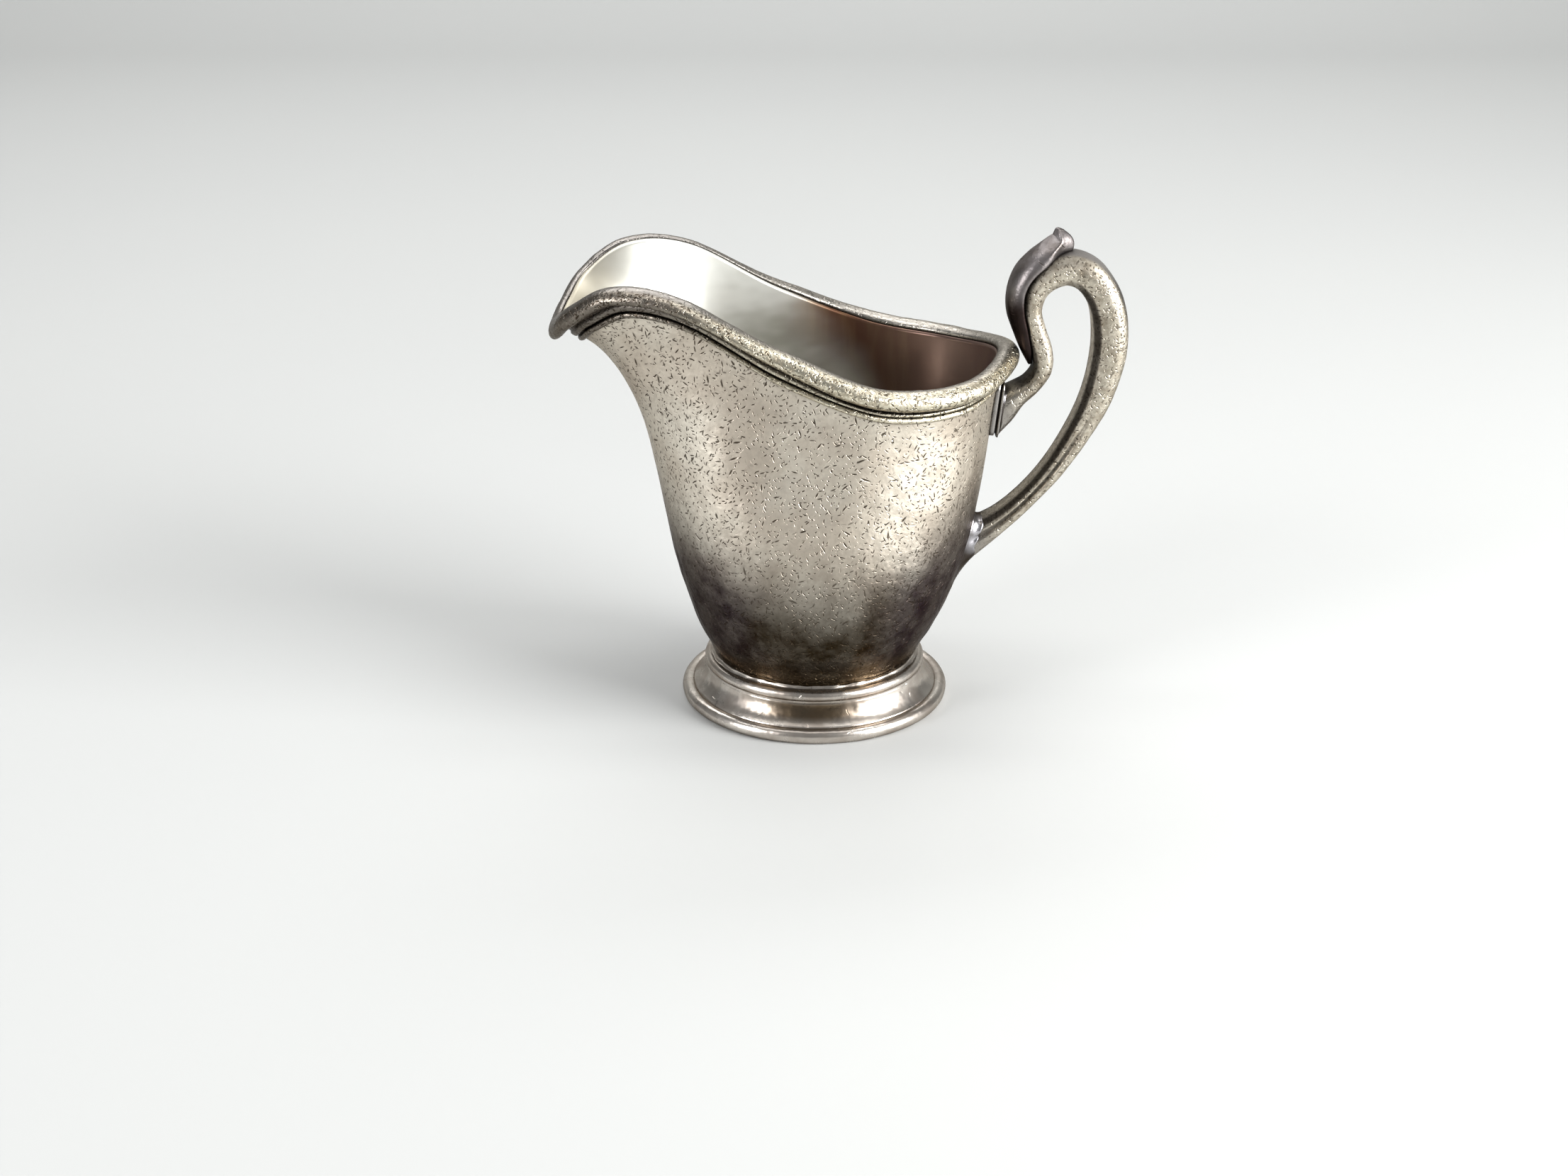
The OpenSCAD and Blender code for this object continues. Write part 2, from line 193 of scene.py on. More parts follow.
# ---- meshes ----
def make_object(name, points, faces, material, slot, replaced, **marks):
    """A smooth-shaded piece from points in millimetres, which stands for a CAD node.

    Each mark is a value from 0 to 1 at every point, which the material reads by its name.
    """
    mesh = bpy.data.meshes.new(name)
    mesh.from_pydata((np.asarray(points) * MM).tolist(), [], faces)
    shell = bmesh.new()
    shell.from_mesh(mesh)
    bmesh.ops.recalc_face_normals(shell, faces=shell.faces)
    shell.to_mesh(mesh)
    shell.free()
    mesh.polygons.foreach_set("use_smooth", [True] * len(mesh.polygons))
    piece = bpy.data.objects.new(name, mesh)
    bpy.context.scene.collection.objects.link(piece)
    mesh.materials.append(material)
    for mark, values in marks.items():
        made = mesh.attributes.new(mark, "FLOAT", "POINT")
        padded = np.zeros(len(mesh.vertices), dtype=np.float32)
        padded[:np.size(values)] = np.ravel(values)
        made.data.foreach_set("value", padded)
    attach(piece, "root")
    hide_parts(replaced)
    return piece


def band_faces(rows, columns, closed_rows, closed_columns):
    """Quads of a grid whose points are stored column by column, rows points in each."""
    faces = []
    for c in range(columns if closed_columns else columns - 1):
        d = (c + 1) % columns
        for r in range(rows if closed_rows else rows - 1):
            q = (r + 1) % rows
            faces.append((c * rows + r, d * rows + r, d * rows + q, c * rows + q))
    return faces


def ring_solid(grid):
    """Points and faces of a closed band round the jug: grid is columns by section points."""
    columns, rows, _ = grid.shape
    return grid.reshape(-1, 3), band_faces(rows, columns, True, True)


def turned_solid(grid, first_pole, last_pole):
    """Points and faces of a closed surface whose rows run from one pole to another."""
    columns, rows, _ = grid.shape
    points = np.vstack([grid.reshape(-1, 3), first_pole, last_pole])
    faces = band_faces(rows, columns, False, True)
    for c in range(columns):
        d = (c + 1) % columns
        faces.append((d * rows, c * rows, columns * rows))
        faces.append((c * rows + rows - 1, d * rows + rows - 1, columns * rows + 1))
    return points, faces


def swept_solid(rings):
    """Points and faces of rings joined in a row and closed by a fan at each end."""
    count, n, _ = rings.shape
    points = np.vstack([rings.reshape(-1, 3), rings[0].mean(0), rings[-1].mean(0)])
    faces = band_faces(n, count, True, False)
    for k in range(n):
        m = (k + 1) % n
        faces.append((k, m, count * n))
        faces.append(((count - 1) * n + m, (count - 1) * n + k, count * n + 1))
    return points, faces


def wobble(points, normals, size, depth, seed):
    """Moves points a little along their normals, as hand finishing leaves them."""
    start = Vector((seed, 0, 0))
    shift = np.array([noise.noise(Vector(p / size) + start) for p in points.reshape(-1, 3)])
    return points + depth * shift.reshape(points.shape[:-1])[..., None] * normals


# ---- body ----
SECTIONS = 288
SKIN_ROWS = 150
INSIDE_ROWS = 90
SUNK = 0.12
FLOOR_HEIGHT = NECK_HEIGHT + SHEET
FLOOR_DISH = 0.4
CORNER_RISE = 1.0
WAIST_HEIGHT = 13.0
WAIST_SPREAD = 2.2
WAIST_DEPTH = 0.25
# The hand-worked surface is deepest low on the body, and stops below the border
WORKED_LOW = (24, 44)
WORKED_END = (0.88, 0.93)

WALL = Wall(SECTIONS)


def body_skin():
    """The outside of the body, with its slight waist above the foot and its hand-worked surface."""
    v = np.tile(np.linspace(0, 1, SKIN_ROWS), (SECTIONS, 1))
    points = WALL.at(v)
    normals = WALL.outward(v)
    height = points[..., 2:]
    low = 1 - smooth(*WORKED_LOW, height)
    waist = np.exp(-((height - WAIST_HEIGHT) / WAIST_SPREAD)**2)
    points = points - WAIST_DEPTH * waist * normals
    plain = 1 - smooth(*WORKED_END, v)[..., None]
    broad = wobble(points, normals, 11, 0.16, 3) - points
    dimples = wobble(points, normals, 3.1, 0.075, 7) - points
    return points + plain * (broad + dimples * (0.35 + 0.65 * low))


def body_inside():
    """The polished inside, from the rim down to the corner of the floor."""
    def inner(v):
        return WALL.at(v) - SHEET * WALL.outward(v)

    low = np.zeros(SECTIONS)
    high = np.full(SECTIONS, 0.5)
    for _ in range(24):
        middle = (low + high) / 2
        above = inner(middle[:, None])[:, 0, 2] > FLOOR_HEIGHT + CORNER_RISE
        high = np.where(above, middle, high)
        low = np.where(above, low, middle)
    v = 1 + (high[:, None] - 1) * np.linspace(0, 1, INSIDE_ROWS)
    points = inner(v)
    normals = WALL.outward(v)
    return wobble(points, normals, 16, 0.12, 11)


def body_floor(edge):
    rings = []
    for f in np.linspace(0.985, 0.12, 14):
        ring = edge * f
        ring[:, 2] = FLOOR_HEIGHT - FLOOR_DISH * (1 - f) + CORNER_RISE * f**14
        rings.append(ring)
    return np.stack(rings, axis=1)


def body_underside():
    rings = []
    for f in (0.15, 0.5, 0.85, 0.97):
        ring = WALL.foot * f
        ring[:, 2] = NECK_HEIGHT
        rings.append(ring)
    return np.stack(rings, axis=1)


def make_body():
    inside = body_inside()
    grid = np.concatenate([body_underside(), body_skin(), inside, body_floor(inside[:, -1])], axis=1)
    points, faces = turned_solid(grid, [0, 0, NECK_HEIGHT], [0, 0, FLOOR_HEIGHT - FLOOR_DISH])
    body = make_object("body_shell_skin", points, faces, outside_silver(), "body_silver", "body_shell")
    body.data.materials.append(inside_silver())
    first_inside = body_underside().shape[1] + SKIN_ROWS
    rows = grid.shape[1]
    first = np.zeros(len(body.data.polygons), dtype=np.int32)
    body.data.polygons.foreach_get("loop_start", first)
    loops = np.zeros(len(body.data.loops), dtype=np.int32)
    body.data.loops.foreach_get("vertex_index", loops)
    row = loops[first] % rows
    is_inside = (row >= first_inside - 1) | (loops[first] >= SECTIONS * rows)
    body.data.polygons.foreach_set("material_index", is_inside.astype(np.int32))
    return points, faces


# ---- border ----
BEAD_ARC = (-100, 160)
BEAD_POINTS = 30
QUIRK = 0.45
BAND_HEIGHT = 1.3
BAND_OUT = 0.6
REED_RADIUS = 0.6
BEAD_FOOT = BEAD_HEIGHT * 0.45
# Dirt and painted shade darken the bead's underside, fading out between these angles
BEAD_UNDERSIDE = (-90, -52)
BEAD_INNER_EDGE = (66, 100)
# The bead grows slimmer and the hollow below it grows wider from the middle of the jug to the spout
BEAD_SLIM = 0.45 * smooth(0, 20, -WALL.top[:, :1])
HOLLOW_DROP = 1.1 * smooth(-10, 10, -WALL.top[:, :1])
BAND_TOP = BEAD_HEIGHT / 2 - BEAD_SLIM + QUIRK
BAND_FOOT = BEAD_HEIGHT / 2 + QUIRK + BAND_HEIGHT + HOLLOW_DROP
REED_FOOT = BAND_FOOT + REED_RADIUS * 1.9
# The hollow from the reed up to the bead, with a flat raised band along it: place in the hollow,
# how far it stands out of the body as a part of the band's stand, and how dark it is with dirt and painted
# shade
BAND_HOLLOW = ((0.98, 0.5, 1.0), (0.88, 0.35, 0.95), (0.8, 0.95, 0.4), (0.7, 1.1, 0.1), (0.52, 1.1, 0.25),
               (0.4, 1.0, 0.5), (0.3, 0.3, 0.95), (0.12, 0.15, 1.0), (0.0, 0.1, 1.0))


def wall_row(d, out=0.0):
    """The wall's skin at a distance below the upper edge, moved outward by out."""
    v = WALL.below(d)
    return (WALL.at(v) + out * WALL.outward(v))[:, 0]


def make_bead():
    top, face, up = WALL.top, WALL.face, WALL.up
    middle = top + BEAD_SEAT * face
    angles = np.linspace(BEAD_ARC[0], BEAD_ARC[1], BEAD_POINTS)
    section = []
    for a in np.radians(angles):
        sideways = (BEAD_SEAT + SHEET) * np.cos(a) * face
        upright = (BEAD_HEIGHT / 2 - BEAD_SLIM) * np.sin(a) * up
        section.append(middle + (sideways + upright))
    grid = np.stack(section, axis=1)
    normals = unit(grid - middle[:, None])
    grid = wobble(grid, normals, 5, 0.1, 21)
    grid = wobble(grid, normals, 1.6, 0.05, 22)
    inner = top - (SHEET - SUNK) * face
    hidden = np.stack([inner, wall_row(0.3, -SUNK), wall_row(BEAD_FOOT, -SUNK)], axis=1)
    points, faces = ring_solid(np.concatenate([grid, hidden], axis=1))
    polish = np.tile(np.append(0.8 * smooth(*BEAD_INNER_EDGE, angles), [1, 1, 1]), (SECTIONS, 1))
    # Dirt and painted shade on the bead's underside
    grime = np.tile(np.append(1 - smooth(*BEAD_UNDERSIDE, angles), [1, 1, 1]), (SECTIONS, 1))
    make_object("rim_bead_wire", points, faces, border_silver("border_bead"), "border_silver", "rim_bead",
                polish=polish, grime=grime)


def make_reed():
    band = WALL.outward(WALL.below(BAND_TOP))[:, 0]
    reed = WALL.outward(WALL.below(BAND_FOOT + REED_RADIUS))[:, 0]
    up = unit(wall_row(BAND_FOOT) - wall_row(REED_FOOT))
    middle = wall_row(BAND_FOOT + REED_RADIUS) + 0.5 * REED_RADIUS * reed
    section = []
    angles = np.linspace(-80, 100, 15)
    for a in np.radians(angles):
        section.append(middle + REED_RADIUS * (np.cos(a) * reed + np.sin(a) * up))
    for d, out, _ in BAND_HOLLOW:
        section.append(wall_row(mix(BAND_TOP, BAND_FOOT, d)) + out * BAND_OUT * band)
    grid = np.stack(section, axis=1)
    grid = wobble(grid, np.broadcast_to(reed[:, None], grid.shape), 4, 0.07, 31)
    hidden = np.stack([wall_row(d, -SUNK) for d in (BAND_TOP, BAND_FOOT, REED_FOOT)], axis=1)
    points, faces = ring_solid(np.concatenate([grid, hidden], axis=1))
    # Dirt and painted shade under the reed and along its top, next to the hollow
    reed_grime = np.maximum(1 - smooth(-72, -40, angles), smooth(74, 100, angles) * 0.8)
    grime = np.tile(np.concatenate([reed_grime, [g for _, _, g in BAND_HOLLOW], [1, 1, 1]]), (SECTIONS, 1))
    make_object("rim_reed_wire", points, faces, border_silver("border_reed"), "border_silver", "rim_reed",
                polish=0.6 * grime, grime=grime)


# ---- foot ----
TURN_STEPS = 256
LEDGE_TOP = NECK_HEIGHT - 0.5
LEDGE_ROUND = 1.2
LEDGE_ARC = (-45, 100)
SEAT_RADIUS = NECK_RADIUS - 0.9
FLANGE_RADIUS = 15.0
COVE_LOW = np.array([FOOT_RADIUS - 2.3, 2 * WIRE_RADIUS - 0.2])
COVE_PULL = np.array([LEDGE_RADIUS + 0.3, 4.2])
COVE_HIGH = np.array([LEDGE_RADIUS - 0.1, LEDGE_TOP - 2 * LEDGE_ROUND])


def cove(t):
    t = np.asarray(t)[:, None]
    return (1 - t)**2 * COVE_LOW + 2 * t * (1 - t) * COVE_PULL + t * t * COVE_HIGH


def arc(centre, radius, start, end, count):
    a = np.radians(np.linspace(start, end, count))
    return np.array(centre) + radius * np.stack([np.cos(a), np.sin(a)], axis=1)


def turned(profile):
    """A closed profile of radius and height, turned about the vertical axis."""
    profile = np.asarray(profile)
    phi = 2 * np.pi * np.arange(TURN_STEPS) / TURN_STEPS
    grid = np.zeros((TURN_STEPS, len(profile), 3))
    grid[..., 0] = np.cos(phi)[:, None] * profile[:, 0]
    grid[..., 1] = np.sin(phi)[:, None] * profile[:, 0]
    grid[..., 2] = profile[:, 1]
    return grid


def make_foot():
    outside = np.vstack([
        [[FOOT_RADIUS - 2.4, 0.3]], cove(np.linspace(0, 1, 28)),
        arc([LEDGE_RADIUS - LEDGE_ROUND, LEDGE_TOP - LEDGE_ROUND], LEDGE_ROUND, *LEDGE_ARC, 16),
        [[NECK_RADIUS, LEDGE_TOP], [SEAT_RADIUS, NECK_HEIGHT - 0.05], [FLANGE_RADIUS, NECK_HEIGHT - 0.05]]])
    under = np.vstack([
        [[FLANGE_RADIUS, NECK_HEIGHT - FOOT_SHEET], [LEDGE_RADIUS - 3, NECK_HEIGHT - FOOT_SHEET]],
        cove(np.linspace(1, 0, 16)) - [FOOT_SHEET, 0.4 * FOOT_SHEET], [[FOOT_RADIUS - 3.6, 0.3]]])
    grid = turned(np.vstack([outside, under]))
    normals = unit(grid - np.array([0, 0, 4.0]))
    grid = wobble(grid, normals, 13, 0.12, 41)
    points, faces = ring_solid(grid)
    make_object("foot_ring_turned", points, faces, foot_silver("foot_cove"), "foot_silver", "foot_ring")


def make_foot_wire():
    centre = [FOOT_RADIUS - WIRE_RADIUS, WIRE_RADIUS - WIRE_WEAR]
    profile = arc(centre, WIRE_RADIUS, -180, 172, 44)
    profile[:, 1] = np.maximum(profile[:, 1], 0)
    grid = turned(profile)
    shaped = wobble(grid, unit(grid * [1, 1, 0]), 6, 0.1, 51)
    points, faces = ring_solid(shaped)
    make_object("foot_wire", points, faces, foot_silver("foot_wire"), "foot_silver", "foot_base_wire")


SEAM_WIDTH = 0.75


def make_foot_seam():
    """Solder drawn into the corner between the ledge and the neck, in a hollow fillet."""
    a = np.radians(np.linspace(0, 90, 10))
    fillet = np.stack([1 - np.sin(a), 1 - np.cos(a)], axis=1) * SEAM_WIDTH
    corner = np.array([NECK_RADIUS + 0.05, LEDGE_TOP - 0.03])
    profile = np.vstack([corner + fillet, [[NECK_RADIUS - 0.5, LEDGE_TOP + SEAM_WIDTH]],
                         [[NECK_RADIUS - 0.5, LEDGE_TOP - 0.2]], [[NECK_RADIUS + 0.5, LEDGE_TOP - 0.2]]])
    grid = turned(profile)
    grid = wobble(grid, unit(grid * [1, 1, 0]), 2.5, 0.22, 61)
    points, faces = ring_solid(grid)
    make_object("foot_solder_fillet", points, faces, foot_silver("foot_solder_silver"), "solder_silver",
                "foot_solder_seam")


# ---- handle ----
PATH_END = 0.02
HANDLE_RINGS = 280
LEAF_RINGS = 130

# One half of a section as parts of half the thickness and half the width, outside first
HANDLE_HALF = [[1.0, 0.0], [0.97, 0.42], [0.87, 0.7], [0.62, 0.92], [0.25, 1.02], [-0.15, 1.03],
               [-0.5, 0.99], [-0.84, 0.82], [-0.99, 0.64], [-1.0, 0.0]]
# The leaf comes down over the handle's shoulders, and its spur has a ridge down each side
LEAF_HALF = [[1.0, 0.0], [0.95, 0.3], [0.78, 0.62], [0.36, 0.88], [-0.2, 1.02], [-0.7, 1.06], [-1.02, 1.02],
             [-1.1, 0.84], [-0.9, 0.4], [-0.9, 0.0]]
SPUR_HALF = [[1.0, 0.0], [0.88, 0.18], [0.64, 0.44], [0.34, 0.74], [0.04, 1.05], [-0.12, 1.05], [-0.5, 0.8],
             [-1.05, 0.5], [-1.55, 0.18], [-1.65, 0.0]]
# The rows of the leaf where it turns into the spur, and where the spur bends upright, and how far
SPUR_TURN = (6.0, 7.7)
SPUR_BEND = (7.8, 9)
SPUR_UPRIGHT = 0.9
# Stretches of the handle, in rows of its table: the crease, the shaded neck, the arch and its crown
CREASE_ROWS = (14.6, 17, 19.2, 20.6)
NECK_ROWS = (1.6, 2.6, 5.5, 6.5)
ARCH_ROWS = (6.5, 7.5, 10, 12)
CROWN_ROWS = (8.5, 9.5, 12, 13.5)
CREASE_DEPTH = 0.75
CREASE_PLACE = -0.12
CREASE_WIDTH = 0.17


def softened(polygon, passes):
    """Cuts the corners off a closed polygon, again and again."""
    for _ in range(passes):
        after = np.roll(polygon, -1, axis=0)
        near = 0.75 * polygon + 0.25 * after
        far = 0.25 * polygon + 0.75 * after
        polygon = np.stack([near, far], axis=1).reshape(-1, 2)
    return polygon


def full_section(half, passes):
    half = np.array(half)
    other = half[-2:0:-1] * [1, -1]
    return softened(np.vstack([half, other]), passes)


class Rod:
    """A shape swept along a path in the plane of symmetry.

    Its section becomes end_section between the two rows of the table that turn gives.
    """

    def __init__(self, table, section, width, end_section=None, turn=(0, 1)):
        self.table, self.section, self.width = table, section, width
        self.end_section = section if end_section is None else end_section
        self.turn = turn
        self.last = len(table) - 1

    def points(self, s):
        """Points of the section's lines at s, an array of rings by lines."""
        flat = s.ravel()
        p = open_spline(self.table, flat)
        d = open_spline(self.table, flat + PATH_END) - open_spline(self.table, flat - PATH_END)
        t = unit(d[:, :2])
        lines = np.broadcast_to(np.arange(s.shape[1]), s.shape).ravel()
        part = smooth(self.turn[0], self.turn[1], flat)[:, None]
        shape = mix(self.section[lines], self.end_section[lines], part)
        across = p[:, 2] / 2 * shape[:, 0]
        aside = p[:, 3] * self.width / 2 * shape[:, 1]
        x = p[:, 0] - t[:, 1] * across
        z = p[:, 1] + t[:, 0] * across
        return np.stack([x, aside, z], axis=1).reshape(*s.shape, 3)

    def where(self, plane, normal, start, end):
        """For each line, the place between start and end where it passes through a plane."""
        low = np.full(len(self.section), float(start))
        high = np.full(len(self.section), float(end))
        for _ in range(30):
            middle = (low + high) / 2
            past = (self.points(middle[None, :])[0] - plane) @ normal > 0
            high = np.where(past, middle, high)
            low = np.where(past, low, middle)
        return (low + high) / 2


def pad_axes(pad):
    lean = math.radians(pad[2])
    return (np.array([pad[0], 0, pad[1]]), np.array([math.cos(lean), 0, -math.sin(lean)]),
            np.array([math.sin(lean), 0, math.cos(lean)]))


HANDLE_ROD = Rod(HANDLE, full_section(HANDLE_HALF, 2), HANDLE_WIDTH)
LEAF_ROD = Rod(LEAF, full_section(LEAF_HALF, 1), LEAF_WIDTH, full_section(SPUR_HALF, 1), SPUR_TURN)


def handle_span():
    """Where each line of the handle starts on the upper pad and ends on the lower one."""
    place, normal, _ = pad_axes(UPPER_PAD)
    start = HANDLE_ROD.where(place, normal, PATH_END, 3)
    place, normal, _ = pad_axes(LOWER_PAD)
    end = HANDLE_ROD.where(place, normal, HANDLE_ROD.last - PATH_END, HANDLE_ROD.last - 3)
    return start, end


def crease(s):
    """Depth of the groove along the handle's sides, which is cut only on the lower arm."""
    return stretch(s, *CREASE_ROWS)


def make_handle():
    start, end = handle_span()
    s = start + (end - start) * np.linspace(0, 1, HANDLE_RINGS)[:, None]
    rings = HANDLE_ROD.points(s)
    centres = rings.mean(axis=1, keepdims=True)
    normals = unit(rings - centres)
    u, w = HANDLE_ROD.section.T
    groove = np.exp(-((u - CREASE_PLACE) / CREASE_WIDTH)**2) * (np.abs(w) > 0.8)
    rings[..., 1] -= np.sign(w) * CREASE_DEPTH * groove * crease(s)
    along = np.linspace(0, 1, HANDLE_RINGS)
    free = smooth(0, 0.05, along) * smooth(0, 0.05, along[::-1])
    shaped = wobble(wobble(rings, normals, 7, 0.16, 71), normals, 2, 0.05, 72)
    rings = rings + free[:, None, None] * (shaped - rings)
    points, faces = swept_solid(rings)
    marks = handle_marks(s, u, w, groove)
    make_object("handle_cast", points, faces, handle_silver("handle_cast_silver"), "handle_silver",
                "handle_casting", **marks)
    return rings


def handle_marks(s, u, w, groove):
    """Dirt with painted shade, and polish, on the handle, where s is the place along it and u and w are in
    its section.

    Dirt and painted shade lie along the edges of the inner face, on the shaded outside of the neck, over
    the arch and in the crease. Both ends and the crown of the arch are rubbed smooth.
    """
    inner = smooth(0.5, 0.66, -u) * (1 - 0.45 * smooth(0.95, 0.99, -u)) * smooth(0.3, 0.5, np.abs(w))
    inner = inner * mix(0.35, 1, smooth(9.5, 11.5, s)) * smooth(3, 4, s)
    shade = stretch(s, *NECK_ROWS) * smooth(0.35, 0.7, u)
    arch = stretch(s, *ARCH_ROWS) * smooth(0, 0.5, u)
    grime = np.maximum.reduce([inner, 0.95 * shade, 0.75 * arch, 0.75 * groove * crease(s)])
    ends = np.maximum(1 - smooth(0, 3.4, s), smooth(18.4, 20.6, s))
    crown = stretch(s, *CROWN_ROWS) * smooth(0.8, 0.95, u)
    return {"grime": grime, "polish": np.maximum(ends, crown)}


def make_leaf():
    count = len(LEAF_ROD.section)
    s = np.linspace(PATH_END, LEAF_ROD.last - PATH_END, LEAF_RINGS)[:, None] * np.ones(count)
    rings = LEAF_ROD.points(s)
    normals = unit(rings - rings.mean(axis=1, keepdims=True))
    rings = wobble(rings, normals, 5, 0.14, 81)
    rings[..., 0] -= SPUR_UPRIGHT * smooth(*SPUR_BEND, s)
    points, faces = swept_solid(rings)
    # Painted shade darkens the leaf's lower end
    make_object("thumb_leaf_cast", points, faces, leaf_silver(), "handle_silver", "thumb_leaf",
                grime=0.92 * (1 - smooth(3.0, 4.6, s)))


# ---- pads ----
PAD_CORNER = 1.8
PAD_POINTS = 96
# The upper pad's side from its front face to the body: depth as a part of the whole, how far it is
# grown, and how dark it is painted, as shade in its groove. A groove divides it into two plates.
UPPER_SIDE = ((0, -0.5, 0.2), (0, -0.1, 0.2), (0.03, 0, 0), (0.17, 0, 0), (0.21, -0.2, 1), (0.27, -0.5, 1),
              (0.38, -0.5, 1), (0.42, -0.1, 0.6), (0.46, 0, 0), (1, 0, 0))
# The lower pad is smaller than the end of the handle, and hidden by the solder
LOWER_SIDE = ((0, -1.9, 0.6), (0.1, -1.6, 0.6), (1, -1.6, 0.6))
# The drop of solder left on each pad: its place, its size and how far it stands out
UPPER_DROP = ((37.2, -4.0, 64.4), 0.8, 0.6)
LOWER_DROP = ((33.1, -4.2, 36.0), 2.3, 0.4)
# How far a direction has to point down to count as the fillet's lower side
DOWNWARD = (0.2, 0.9)
# How deep the hidden back of a fillet lies inside the handle
FILLET_ROOT = 0.5


def rounded_outline(length, width, corner, grow):
    """Points of a rounded rectangle: across and along."""
    corners = []
    for k, (sx, sy) in enumerate(((1, 1), (-1, 1), (-1, -1), (1, -1))):
        centre = [sx * (width / 2 - corner), sy * (length / 2 - corner)]
        corners.append(arc(centre, corner + grow, 90 * k, 90 * k + 90, PAD_POINTS // 4))
    return np.vstack(corners)


def make_pad(name, replaced, pad, side):
    place, normal, up = pad_axes(pad)
    rings = []
    for depth, grow, _ in side:
        outline = rounded_outline(pad[3], PAD_WIDTH, PAD_CORNER, grow)
        front = place + outline[:, :1] * np.array([0, 1, 0]) + outline[:, 1:] * up
        ring = []
        for p in front:
            hit = body_tree.ray_cast(Vector(p + 2 * normal), Vector(-normal))
            gap = (p - np.array(hit[0])) @ normal + 0.3
            ring.append(p - depth * max(gap, 0.4) * normal)
        rings.append(ring)
    rings = np.array(rings)
    points, faces = swept_solid(rings)
    # Painted shade, darkest in the groove between the two plates, as the side's table gives it
    grime = np.array([[g] * rings.shape[1] for _, _, g in side])
    make_object(name, points, faces, handle_silver(name + "_silver"), "handle_silver", replaced,
                grime=grime, polish=np.ones_like(grime))


def make_pad_solder(name, replaced, pad, end_ring, next_ring, size, reach, drop, seed):
    """A hollow fillet round the end of the handle, with a rounded drop where the solder was fed in.

    size is how far it climbs towards next_ring above and below, and reach(p, out) gives its outer edge
    for a point of the handle's end.
    """
    _, normal, up = pad_axes(pad)
    middle = end_ring.mean(axis=0)
    rings = []
    for p, q in zip(end_ring, next_ring):
        out = p - middle
        out = unit(out - (out @ normal) * normal)
        here = mix(size[0], size[1], smooth(*DOWNWARD, -(out @ up)))
        here *= 1 + 0.3 * noise.noise(Vector(p / 1.6) + Vector((seed, 0, 0)))
        foot = reach(p, out)
        high = p + here * unit(q - p)
        corner = p + 0.05 * out
        ring = []
        for t in np.linspace(0, 1, 9):
            ring.append((1 - t)**2 * foot + 2 * t * (1 - t) * corner + t * t * high)
        ring.append(high - FILLET_ROOT * out)
        ring.append(p - FILLET_ROOT * out)
        ring.append(foot - 0.25 * normal - 0.1 * out)
        rings.append(ring)
    rings = np.array(rings)
    place, spread, stand = drop
    away = np.linalg.norm(rings - place, axis=2) / spread
    bulge = unit(np.array([0, -1.0, 0]) + normal + 0.6 * up)
    rings = rings + stand * np.exp(-away**2)[..., None] * bulge
    points, faces = ring_solid(rings)
    # Painted shade darkens the fillet away from its drop
    make_object(name, points, faces, solder_silver(name + "_silver"), "solder_silver", replaced,
                grime=0.9 * smooth(1.2, 2.6, away))


def edge_of_pad(p, out):
    """The upper fillet ends on the pad's face, clear of the plate's edge."""
    return p + min(0.4, max(PAD_WIDTH / 2 - abs(p[1]), 0.12)) * out


def edge_on_body(p, out):
    """The lower fillet covers its pad and ends on the body."""
    _, normal, up = pad_axes(LOWER_PAD)
    start = p + mix(1.25, 4.2, smooth(*DOWNWARD, -(out @ up))) * out
    hit = body_tree.ray_cast(Vector(start + 3 * normal), Vector(-normal))
    return np.array(hit[0]) - 0.05 * normal


